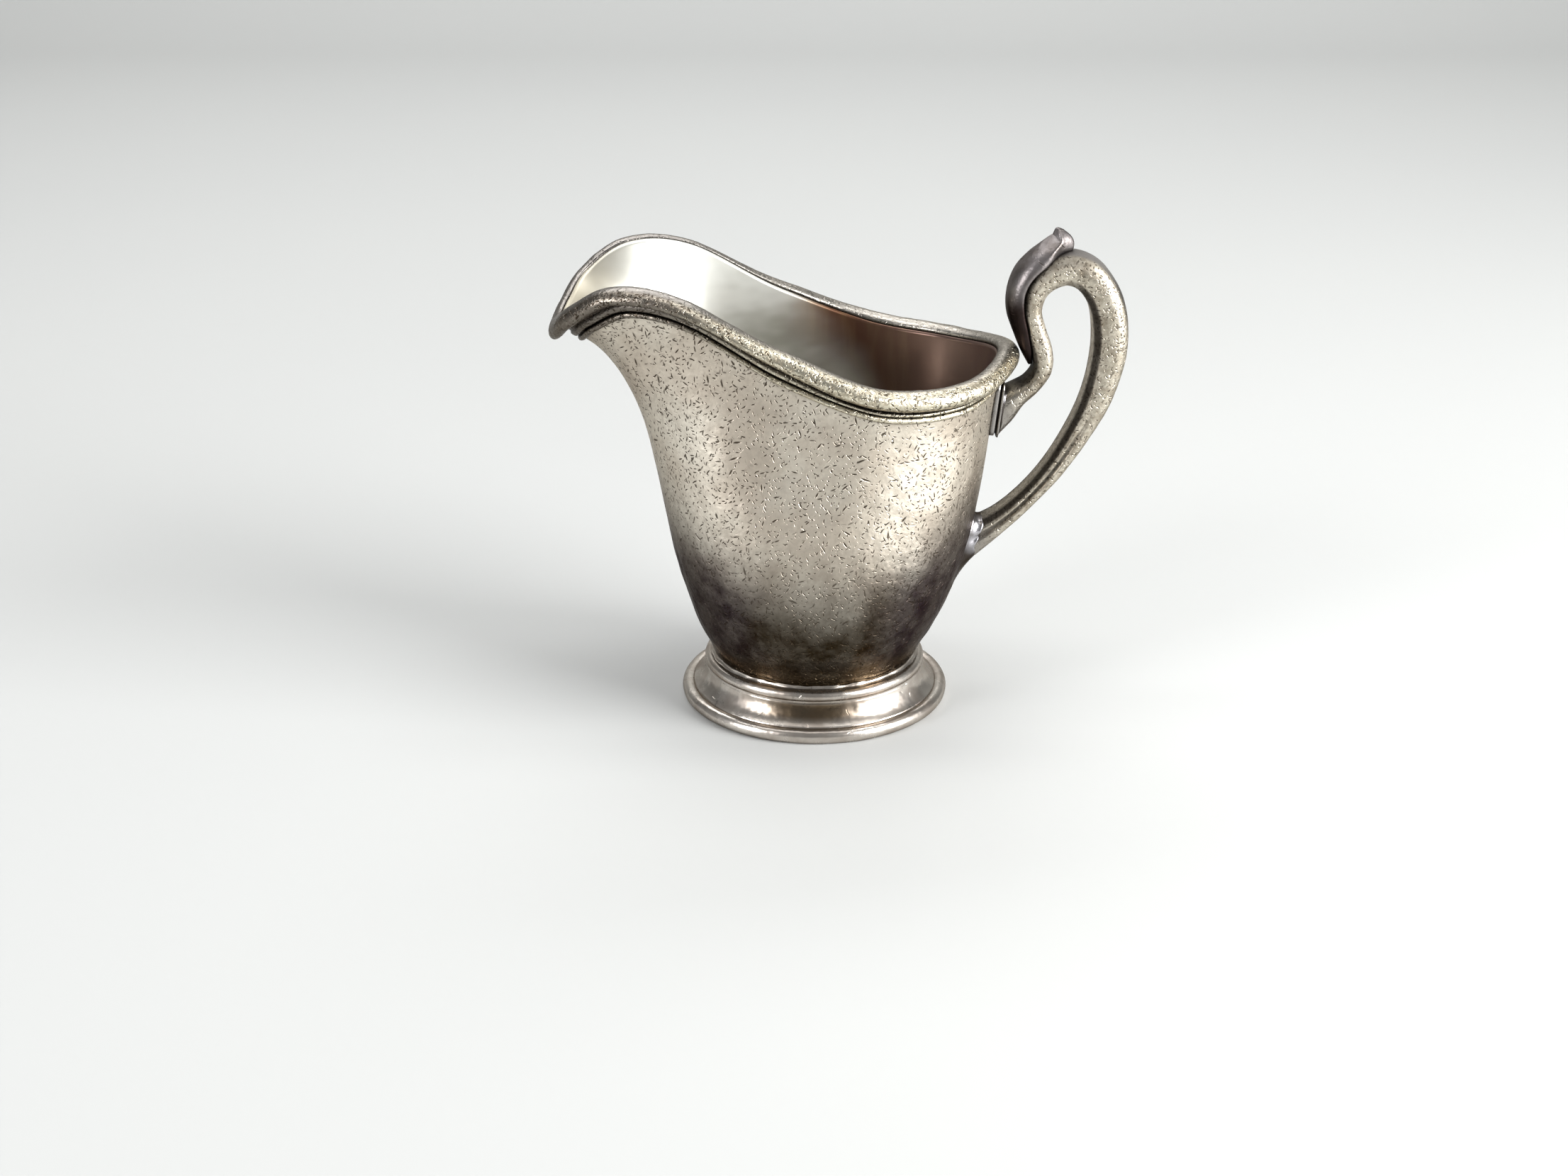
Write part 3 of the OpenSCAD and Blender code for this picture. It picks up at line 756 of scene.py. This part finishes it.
# ---- materials ----
class Shader:
    """A material's node tree, built from short calls."""

    def __init__(self, name):
        self.material = bpy.data.materials.new(name)
        self.material.use_nodes = True
        self.tree = self.material.node_tree
        self.tree.nodes.clear()
        self.output = self.add("ShaderNodeOutputMaterial")
        self.surface = self.add("ShaderNodeBsdfPrincipled")
        self.tree.links.new(self.surface.outputs[0], self.output.inputs["Surface"])
        self.place = self.add("ShaderNodeTexCoord").outputs["Object"]
        self.normal = self.add("ShaderNodeNewGeometry").outputs["Normal"]
        axes = self.add("ShaderNodeSeparateXYZ")
        self.put(axes.inputs[0], self.place)
        self.x, _, self.z = axes.outputs

    def add(self, kind, **settings):
        node = self.tree.nodes.new(kind)
        for key, value in settings.items():
            setattr(node, key, value)
        return node

    def put(self, socket, value):
        """A link if value is a socket, and otherwise a constant."""
        if isinstance(value, bpy.types.NodeSocket):
            self.tree.links.new(value, socket)
        else:
            socket.default_value = value

    def math(self, operation, *values):
        node = self.add("ShaderNodeMath", operation=operation)
        for socket, value in zip(node.inputs, values):
            self.put(socket, value)
        return node.outputs[0]

    def vector(self, operation, *values):
        node = self.add("ShaderNodeVectorMath", operation=operation)
        for socket, value in zip(node.inputs, values):
            self.put(socket, value)
        return node.outputs["Value" if operation == "DOT_PRODUCT" else "Vector"]

    def scaled(self, vector, factor):
        node = self.add("ShaderNodeVectorMath", operation="SCALE")
        self.put(node.inputs[0], vector)
        self.put(node.inputs["Scale"], factor)
        return node.outputs[0]

    def ramp(self, value, start, end, low=0.0, high=1.0):
        """value from start to end becomes low to high, smoothly, and stays there beyond."""
        node = self.add("ShaderNodeMapRange", interpolation_type="SMOOTHSTEP")
        for socket, setting in zip(node.inputs, (value, start, end, low, high)):
            self.put(socket, setting)
        return node.outputs[0]

    def noise(self, size, detail=2.0, roughness=0.5, stretch=None, shift=0.0):
        """Noise from 0 to 1, with features of about size metres."""
        node = self.add("ShaderNodeTexNoise")
        place = self.place
        if stretch:
            place = self.vector("MULTIPLY", place, stretch)
        self.put(node.inputs["Vector"], self.vector("ADD", place, (shift, shift, shift)))
        self.put(node.inputs["Scale"], 1 / size)
        self.put(node.inputs["Detail"], detail)
        self.put(node.inputs["Roughness"], roughness)
        return node.outputs[0]

    def blend(self, factor, a, b):
        node = self.add("ShaderNodeMix", data_type="RGBA")
        self.put(node.inputs["Factor"], factor)
        self.put(node.inputs["A"], a)
        self.put(node.inputs["B"], b)
        return node.outputs["Result"]

    def mark(self, name):
        """One of the values that make_object keeps at each point."""
        return self.add("ShaderNodeAttribute", attribute_name=name).outputs["Fac"]

    def crevice(self, reach):
        """1 in the open and less in corners that are narrower than reach."""
        node = self.add("ShaderNodeAmbientOcclusion", samples=6)
        self.put(node.inputs["Distance"], reach)
        return node.outputs["AO"]

    def dashes(self, spacing, length, width, density, shift):
        """Short nicks that lie at random along the surface: how deep each point is, from 0 to 1."""
        place = self.vector("ADD", self.place, (shift, shift, shift))
        cells = self.add("ShaderNodeTexVoronoi")
        self.put(cells.inputs["Vector"], place)
        self.put(cells.inputs["Scale"], 1 / spacing)
        offset = self.vector("SUBTRACT", place, cells.outputs["Position"])
        chance = self.vector("MULTIPLY_ADD", cells.outputs["Color"], (2, 2, 2), (-1, -1, -1))
        level = self.vector("DOT_PRODUCT", chance, self.normal)
        flat = self.vector("SUBTRACT", chance, self.scaled(self.normal, level))
        along = self.vector("NORMALIZE", flat)
        across = self.vector("CROSS_PRODUCT", self.normal, along)
        a = self.vector("DOT_PRODUCT", offset, along)
        b = self.vector("DOT_PRODUCT", offset, across)
        colour = self.add("ShaderNodeSeparateColor")
        self.put(colour.inputs[0], cells.outputs["Color"])
        red, green, blue = colour.outputs
        draw = self.math("FRACT", self.math("MULTIPLY_ADD", red, 7.3, self.math("MULTIPLY", green, 5.1)))
        bend = self.math("MULTIPLY", self.math("SUBTRACT", blue, 0.5), 0.3 / length)
        b = self.math("MULTIPLY_ADD", self.math("MULTIPLY", a, a), bend, b)
        half = self.math("MULTIPLY_ADD", draw, 0.45 * length, 0.22 * length)
        u = self.math("DIVIDE", a, half)
        w = self.math("DIVIDE", b, width / 2)
        span = self.math("SQRT", self.math("ADD", self.math("MULTIPLY", u, u), self.math("MULTIPLY", w, w)))
        shape = self.ramp(span, 0.45, 1.1, 1.0, 0.0)
        pick = self.math("FRACT", self.math("MULTIPLY_ADD", blue, 11.7, self.math("MULTIPLY", red, 3.9)))
        shown = self.ramp(pick, 1 - density, 1 - density * 0.55)
        return self.math("MULTIPLY", shape, shown)

    def bump(self, height, depth, normal=None):
        node = self.add("ShaderNodeBump")
        self.put(node.inputs["Height"], height)
        self.put(node.inputs["Strength"], 1.0)
        self.put(node.inputs["Distance"], depth)
        if normal:
            self.put(node.inputs["Normal"], normal)
        return node.outputs[0]

    def finish(self, colour, roughness, normal, metallic=1.0):
        self.put(self.surface.inputs["Base Color"], colour)
        self.put(self.surface.inputs["Roughness"], roughness)
        self.put(self.surface.inputs["Normal"], normal)
        self.put(self.surface.inputs["Metallic"], metallic)
        if metallic:
            self.put(self.surface.inputs["Specular Tint"], DULL_EDGE)
        return self.material


def tint(r, g, b):
    """A colour as it is seen, 0 to 255, in the linear values that a shader takes."""
    return tuple((c / 255)**2.2 for c in (r, g, b)) + (1.0,)


WARM_SILVER = tint(192, 181, 166)
LIGHT_SILVER = tint(214, 207, 193)
CLEAN_SILVER = tint(226, 226, 218)
PALE_GOLD = tint(222, 215, 194)
# Some tarnish, darkened into a painted dark reflection low on the body; the brown also marks tarnish spots
# on the foot
PURPLE_TARNISH_AND_REFLECTION = tint(48, 40, 43)
BROWN_TARNISH_AND_REFLECTION = tint(43, 34, 21)
NICK_BROWN = tint(50, 40, 28)
# Painted shade in corners
CREVICE_SHADE_BLACK = tint(20, 16, 12)
DUSTY_SILVER = tint(150, 140, 128)
RUBBED_SILVER = tint(150, 146, 142)
# Painted brown reflection round the neck
NECK_BROWN_REFLECTION = tint(92, 79, 62)
TARNISH_BROWN = tint(78, 44, 10)
TARNISH_TAN = tint(100, 74, 46)
TARNISH_ROSE = tint(118, 104, 100)
SMEAR_GREY = tint(138, 135, 122)
LIP_GREY = tint(148, 140, 122)
BORDER_DULL = tint(178, 168, 148)
# Painted shade on the border near the spout
SPOUT_SHADE_GREY = tint(90, 83, 79)
# Dirt and painted shade in the border's grooves and under the bead
BORDER_DIRT_AND_SHADE = tint(44, 35, 26)
FOOT_LIGHT = tint(208, 201, 192)
FOOT_DULL = tint(178, 168, 158)
# Painted brown reflection on the foot's cove
FOOT_BROWN_REFLECTION = tint(92, 75, 52)
# Painted shade in the foot's corners
FOOT_CORNER_SHADE = tint(52, 38, 25)
HANDLE_DULL = tint(172, 163, 148)
HANDLE_LIGHT = tint(206, 198, 182)
HANDLE_STAIN = tint(112, 100, 82)
# Dirt and painted shade on the handle
HANDLE_DIRT_AND_SHADE = tint(24, 19, 15)
LEAF_LIGHT = tint(126, 121, 120)
LEAF_DULL = tint(100, 94, 91)
# Painted shade at the leaf's lower end
LEAF_TAIL_SHADE = tint(40, 30, 28)
SOLDER_LIGHT = tint(172, 170, 174)
SOLDER_DULL = tint(138, 134, 134)
# Painted shade on the solder away from its drops
SOLDER_SHADE = tint(48, 40, 30)
STAGE_DULL = tint(168, 169, 168)
STAGE_LIGHT = tint(172, 173, 171)
# How much light a grazing look at the metal gives back, as tarnish dulls it
DULL_EDGE = (0.5, 0.48, 0.46, 1.0)


def outside_silver():
    """Satin silver covered in fine nicks, with brown and purple tarnish low on the body darkened into a
    painted dark reflection, a painted brown reflection at the neck and painted shade in its corners.
    """
    m = Shader("body_silver_outside")
    cloud = m.noise(0.016, 3.0, 0.55)
    fine = m.noise(0.0012, 3.0, 0.6, shift=0.5)
    side = m.math("MULTIPLY", m.x, m.x)
    # Painted dark reflection: low on the body, and higher at the sides, the colour turns brown and purple
    # over some tarnish
    height = m.math("MULTIPLY_ADD", side, -14.0, m.math("MULTIPLY_ADD", cloud, 0.012, m.z))
    low = m.ramp(height, 0.0275, 0.049, 1.0, 0.0)
    colour = m.blend(m.ramp(cloud, 0.3, 0.7), WARM_SILVER, LIGHT_SILVER)
    colour = m.blend(m.math("MULTIPLY", m.ramp(fine, 0.35, 0.7), 0.3), colour, DUSTY_SILVER)
    flank = m.math("MULTIPLY_ADD", m.noise(0.009, 3.0, 0.6, shift=0.2), 0.0003, side)
    tarnish_and_reflection = m.blend(m.ramp(flank, 0.00015, 0.00045), BROWN_TARNISH_AND_REFLECTION, PURPLE_TARNISH_AND_REFLECTION)
    mottle = m.ramp(m.noise(0.005, 4.0, 0.65, shift=0.45), 0.3, 0.7, 0.88, 1.0)
    colour = m.blend(m.math("MULTIPLY", low, mottle), colour, tarnish_and_reflection)
    small = m.dashes(0.00115, 0.0008, 0.00024, 0.85, 0.0)
    middle = m.dashes(0.0016, 0.0012, 0.0003, 0.8, 0.03)
    large = m.dashes(0.0034, 0.0017, 0.00046, 0.5, 0.07)
    nicks = m.math("MAXIMUM", m.math("MAXIMUM", small, middle), large)
    dark = m.math("MULTIPLY", nicks, m.math("MULTIPLY_ADD", low, -0.4, 0.9))
    colour = m.blend(dark, colour, NICK_BROWN)
    # Painted shade: corners darken towards black by how closed in they are
    corner = m.ramp(m.crevice(0.0016), 0.35, 0.85, 1.0, 0.0)
    colour = m.blend(corner, colour, CREVICE_SHADE_BLACK)
    # Painted reflection: the neck just above the foot turns brown
    neck = m.ramp(m.z, 0.0115, 0.0155, 1.0, 0.0)
    colour = m.blend(m.math("MULTIPLY", neck, 0.5), colour, NECK_BROWN_REFLECTION)
    satin = m.math("MULTIPLY_ADD", fine, 0.12, 0.39)
    roughness = m.math("MULTIPLY_ADD", neck, -0.24, m.math("MULTIPLY_ADD", low, -0.06, satin))
    dented = m.math("MULTIPLY", m.math("ADD", low, 0.4), m.ramp(m.z, 0.013, 0.018))
    dents = m.bump(m.noise(0.009, 1.0, 0.5, shift=0.77), 0.0006)
    dimples = m.bump(m.math("MULTIPLY", m.noise(0.0026, 2.0, 0.5, shift=0.9), dented), 0.00045, dents)
    grain = m.bump(fine, 0.00006, dimples)
    return m.finish(colour, roughness, m.bump(nicks, -0.00008, grain))


def inside_silver():
    """Polished silver at the spout, turning to dark brown tarnish high up towards the handle."""
    m = Shader("body_silver_inside")
    cloud = m.noise(0.02, 2.0, 0.5, shift=0.3)
    reach = m.math("MULTIPLY_ADD", m.z, 0.55, m.math("MULTIPLY_ADD", cloud, 0.012, m.x))
    dark = m.ramp(reach, 0.037, 0.053)
    streaks = m.noise(0.005, 3.0, 0.6, stretch=(1.0, 1.0, 0.1), shift=0.1)
    tarnish = m.blend(m.ramp(streaks, 0.4, 0.7), TARNISH_BROWN, TARNISH_TAN)
    far = m.ramp(m.x, -0.01, 0.034)
    smears = m.ramp(m.noise(0.016, 3.0, 0.5, stretch=(0.6, 0.6, 1.3), shift=0.6), 0.38, 0.64)
    clean = m.blend(m.math("MULTIPLY", smears, 0.8), CLEAN_SILVER, SMEAR_GREY)
    clean = m.blend(m.ramp(m.x, -0.046, -0.031, 0.75, 0.0), clean, LIP_GREY)
    colour = m.blend(dark, clean, m.blend(m.math("MULTIPLY", far, 0.6), tarnish, TARNISH_ROSE))
    roughness = m.math("MULTIPLY_ADD", smears, 0.08, 0.3)
    return m.finish(colour, roughness, m.bump(m.noise(0.008, 2.0, 0.4), 0.00012), metallic=0.72)


def border_silver(name):
    """Pale gold wire, pitted where it isn't polished, with painted shade at the spout, and dirt and painted
    shade in its grooves and corners.
    """
    m = Shader(name)
    grain = m.noise(0.0009, 3.0, 0.6)
    pits = m.ramp(m.noise(0.0008, 2.0, 0.5, shift=0.66), 0.57, 0.68)
    nicks = m.math("MAXIMUM", m.dashes(0.0011, 0.0008, 0.00032, 0.8, 0.1),
                   m.dashes(0.002, 0.0013, 0.0004, 0.6, 0.2))
    marks = m.math("MULTIPLY", m.math("MAXIMUM", m.math("MULTIPLY", pits, 0.8), nicks),
                   m.math("MULTIPLY_ADD", m.mark("polish"), -0.85, 1.0))
    colour = m.blend(m.ramp(grain, 0.35, 0.65), BORDER_DULL, PALE_GOLD)
    # Painted shade: the wire turns grey towards the spout
    spout = m.ramp(m.x, -0.032, -0.006, 0.85, 0.0)
    colour = m.blend(spout, colour, SPOUT_SHADE_GREY)
    colour = m.blend(m.mark("polish"), colour, RUBBED_SILVER)
    colour = m.blend(m.math("MULTIPLY", marks, 0.85), colour, NICK_BROWN)
    # Dirt and painted shade, as marked on the points
    colour = m.blend(m.math("MULTIPLY", m.mark("grime"), 0.88), colour, BORDER_DIRT_AND_SHADE)
    # Painted shade: corners darken towards black by how closed in they are
    corner = m.ramp(m.crevice(0.0012), 0.3, 0.85, 1.0, 0.0)
    colour = m.blend(m.math("MULTIPLY", corner, 0.75), colour, CREVICE_SHADE_BLACK)
    roughness = m.ramp(grain, 0.3, 0.7, 0.4, 0.24)
    relief = m.bump(m.math("MULTIPLY", grain, m.math("MULTIPLY_ADD", m.mark("polish"), -0.8, 1.0)), 0.00016)
    return m.finish(colour, roughness, m.bump(marks, -0.00012, relief))


def foot_silver(name):
    """Smooth, shiny silver with a painted brown reflection across the front and back of its cove, a few
    tarnish spots and marks, and painted shade in its corners.
    """
    m = Shader(name)
    cloud = m.noise(0.007, 3.0, 0.6, shift=0.4)
    colour = m.blend(m.ramp(cloud, 0.35, 0.7), FOOT_LIGHT, FOOT_DULL)
    # Painted reflection: the cove turns brown across its front and back
    wide = m.math("MULTIPLY_ADD", cloud, 0.008, m.math("ABSOLUTE", m.math("ADD", m.x, 0.001)))
    cove_only = m.math("MULTIPLY", m.ramp(m.z, 0.0025, 0.0045), m.ramp(m.z, 0.0062, 0.0074, 1.0, 0.15))
    brown = m.math("MULTIPLY", m.ramp(wide, 0.008, 0.022, 1.0, 0.0), cove_only)
    colour = m.blend(m.math("MULTIPLY", brown, 0.9), colour, FOOT_BROWN_REFLECTION)
    spots = m.ramp(m.noise(0.0021, 4.0, 0.7, shift=0.8), 0.6, 0.72)
    colour = m.blend(m.math("MULTIPLY", spots, 0.4), colour, BROWN_TARNISH_AND_REFLECTION)
    # Painted shade: the corners darken, more so higher up
    corner = m.ramp(m.crevice(0.002), 0.2, 0.8, 1.0, 0.0)
    corner_shade = m.math("MULTIPLY", corner, m.ramp(m.z, 0.004, 0.0085, 0.2, 0.6))
    colour = m.blend(corner_shade, colour, FOOT_CORNER_SHADE)
    roughness = m.math("MULTIPLY_ADD", cloud, 0.16, 0.2)
    dents = m.bump(m.noise(0.0035, 2.0, 0.5, shift=0.6), 0.00018)
    return m.finish(colour, roughness, m.bump(m.dashes(0.004, 0.002, 0.0003, 0.4, 0.3), -0.00004, dents))


def handle_silver(name):
    """Cast silver: finely pitted, smooth at its ends and crown, dark with dirt and painted shade where that
    is marked, and painted shade in its corners.
    """
    m = Shader(name)
    grain = m.noise(0.001, 3.0, 0.6, shift=0.7)
    rubbed = m.mark("polish")
    colour = m.blend(m.ramp(grain, 0.35, 0.65), HANDLE_DULL, HANDLE_LIGHT)
    cloud = m.ramp(m.noise(0.006, 3.0, 0.6, shift=0.33), 0.45, 0.68)
    colour = m.blend(m.math("MULTIPLY", cloud, 0.55), colour, HANDLE_STAIN)
    colour = m.blend(rubbed, colour, RUBBED_SILVER)
    pitted = m.math("MULTIPLY_ADD", rubbed, -0.85, 1.0)
    specks = m.ramp(m.noise(0.0008, 2.0, 0.5, shift=0.26), 0.56, 0.68)
    pits = m.math("MAXIMUM", m.math("MULTIPLY", specks, 0.7),
                  m.dashes(0.0011, 0.0008, 0.0003, 0.8, 0.4))
    nicks = m.math("MULTIPLY", pits, pitted)
    colour = m.blend(m.math("MULTIPLY", nicks, 0.75), colour, NICK_BROWN)
    # Dirt and painted shade, as marked on the points
    colour = m.blend(m.math("MULTIPLY", m.mark("grime"), 0.94), colour, HANDLE_DIRT_AND_SHADE)
    # Painted shade: corners darken towards black by how closed in they are
    corner = m.ramp(m.crevice(0.002), 0.35, 0.9, 1.0, 0.0)
    colour = m.blend(m.math("MULTIPLY", corner, 0.9), colour, CREVICE_SHADE_BLACK)
    rough = m.math("MULTIPLY_ADD", m.mark("grime"), 0.35, m.ramp(grain, 0.3, 0.7, 0.4, 0.28))
    roughness = m.math("MULTIPLY_ADD", rubbed, -0.08, rough)
    relief = m.bump(m.math("MULTIPLY", grain, pitted), 0.00012)
    m.put(m.surface.inputs["Specular IOR Level"], 0.15)
    metallic = m.math("MULTIPLY_ADD", m.mark("grime"), -0.95, 1.0)
    return m.finish(colour, roughness, m.bump(nicks, -0.00009, relief), metallic)


def leaf_silver():
    """Smooth purple-grey silver, with painted shade at its lower end and in its corners."""
    m = Shader("thumb_leaf_silver")
    cloud = m.noise(0.004, 3.0, 0.6, shift=0.15)
    colour = m.blend(m.ramp(cloud, 0.35, 0.7), LEAF_LIGHT, LEAF_DULL)
    nicks = m.dashes(0.0022, 0.0014, 0.0003, 0.5, 0.6)
    colour = m.blend(m.math("MULTIPLY", nicks, 0.6), colour, NICK_BROWN)
    # Painted shade at the lower end, as marked on the points
    colour = m.blend(m.mark("grime"), colour, LEAF_TAIL_SHADE)
    # Painted shade: corners darken towards black by how closed in they are
    corner = m.ramp(m.crevice(0.0015), 0.35, 0.85, 1.0, 0.0)
    colour = m.blend(m.math("MULTIPLY", corner, 0.9), colour, CREVICE_SHADE_BLACK)
    roughness = m.math("MULTIPLY_ADD", cloud, 0.14, 0.34)
    dents = m.bump(m.noise(0.0012, 3.0, 0.6, shift=0.35), 0.0001)
    return m.finish(colour, roughness, m.bump(nicks, -0.00004, dents))


def solder_silver(name):
    """Smooth solder, greyer than the silver, with painted shade away from its drop and in its corners."""
    m = Shader(name)
    cloud = m.noise(0.003, 3.0, 0.6)
    colour = m.blend(m.ramp(cloud, 0.4, 0.65), SOLDER_LIGHT, SOLDER_DULL)
    # Painted shade away from the drop, as marked on the points
    colour = m.blend(m.mark("grime"), colour, SOLDER_SHADE)
    # Painted shade: corners darken towards black by how closed in they are
    corner = m.ramp(m.crevice(0.0015), 0.35, 0.85, 1.0, 0.0)
    colour = m.blend(m.math("MULTIPLY", corner, 0.9), colour, CREVICE_SHADE_BLACK)
    roughness = m.math("MULTIPLY_ADD", cloud, 0.15, 0.22)
    return m.finish(colour, roughness, m.bump(m.noise(0.0014, 2.0, 0.5), 0.00006))


def stage_grey():
    m = Shader("stage_pale")
    colour = m.blend(m.noise(0.3, 2.0, 0.5), STAGE_DULL, STAGE_LIGHT)
    return m.finish(colour, 0.7, m.bump(m.noise(0.004, 2.0, 0.5), 0.00002), metallic=0.0)


# ---- stage ----
CAMERA_PLACE = (-0.00621, -0.42980, 0.20278)
CAMERA_DOWN = 22.8
LENS = 52.89
SENSOR = 36.0


def make_stage():
    """A pale floor that curves up behind the jug into a wall."""
    back, radius, front, side, top = 0.75, 0.35, -2.2, 2.6, 2.4
    a = np.radians(np.linspace(0, 90, 24))
    curve = np.stack([back + radius * np.sin(a), radius * (1 - np.cos(a))], axis=1)
    line = np.vstack([[[front, 0]], curve, [[back + radius, top]]])
    points = [(x, y, z) for y, z in line for x in (-side, side)]
    faces = [(2 * i, 2 * i + 1, 2 * i + 3, 2 * i + 2) for i in range(len(line) - 1)]
    mesh = bpy.data.meshes.new("stage_floor")
    mesh.from_pydata(points, [], faces)
    mesh.polygons.foreach_set("use_smooth", [True] * len(faces))
    mesh.materials.append(stage_grey())
    floor = bpy.data.objects.new("stage_floor", mesh)
    bpy.context.scene.collection.objects.link(floor)


# Lights as name, place, size, watts and colour, aimed at the jug or at the wall behind it
WHITE = (1, 1, 1)
COOL = (0.98, 0.98, 1.0)
JUG_MIDDLE = (0, 0, 0.05)
WALL_MIDDLE = (0, 1.1, 0.5)
JUG_LIGHTS = (
    ("window_right", (0.62, -0.3, 0.3), (0.42, 0.45), 13.5, WHITE),
    ("window_left", (-0.62, -0.42, 0.32), (0.22, 0.45), 4.7, COOL),
    ("ceiling", (0.0, 0.1, 1.3), (1.2, 0.9), 6, WHITE),
    ("back", (-0.1, 0.62, 0.75), (0.9, 0.3), 3.6, WHITE))
WALL_LIGHT = ("wall_wash", (0.0, 0.1, 1.2), (1.4, 0.4), 10, WHITE)
SKY_COLOUR = (0.62, 0.63, 0.64, 1)
SKY_STRENGTH = 0.36


def make_light(target, name, place, size, power, colour):
    data = bpy.data.lights.new(name, "AREA")
    data.shape = "RECTANGLE"
    data.size, data.size_y = size
    data.energy = power
    data.color = colour
    light = bpy.data.objects.new(name, data)
    light.location = place
    aim = Vector(target) - Vector(place)
    light.rotation_euler = aim.to_track_quat("-Z", "Y").to_euler()
    bpy.context.scene.collection.objects.link(light)


def make_lights():
    for light in JUG_LIGHTS:
        make_light(JUG_MIDDLE, *light)
    make_light(WALL_MIDDLE, *WALL_LIGHT)
    world = bpy.data.worlds.new("studio_world")
    world.use_nodes = True
    background = world.node_tree.nodes["Background"]
    background.inputs["Color"].default_value = SKY_COLOUR
    background.inputs["Strength"].default_value = SKY_STRENGTH
    bpy.context.scene.world = world


def make_camera():
    data = bpy.data.cameras.new("camera")
    data.lens = LENS
    data.sensor_width = SENSOR
    camera = bpy.data.objects.new("camera", data)
    camera.location = CAMERA_PLACE
    camera.rotation_euler = (math.radians(90 - CAMERA_DOWN), 0, 0)
    bpy.context.scene.collection.objects.link(camera)
    bpy.context.scene.camera = camera


# ---- the jug ----
body_points, body_faces = make_body()
body_tree = BVHTree.FromPolygons([Vector(p) for p in body_points], body_faces)
make_bead()
make_reed()
make_foot()
make_foot_wire()
make_foot_seam()
handle_rings = make_handle()
make_leaf()
make_pad("upper_pad_plate", "upper_handle_pad", UPPER_PAD, UPPER_SIDE)
make_pad("lower_pad_plate", "lower_handle_pad", LOWER_PAD, LOWER_SIDE)
make_pad_solder("upper_pad_fillet", "upper_pad_solder", UPPER_PAD, handle_rings[0], handle_rings[2],
                (0.5, 0.5), edge_of_pad, UPPER_DROP, 91)
make_pad_solder("lower_pad_fillet", "lower_pad_solder", LOWER_PAD, handle_rings[-1], handle_rings[-3],
                (1.6, 4), edge_on_body, LOWER_DROP, 97)

make_stage()
make_lights()
make_camera()
bpy.context.scene.view_settings.view_transform = "Standard"
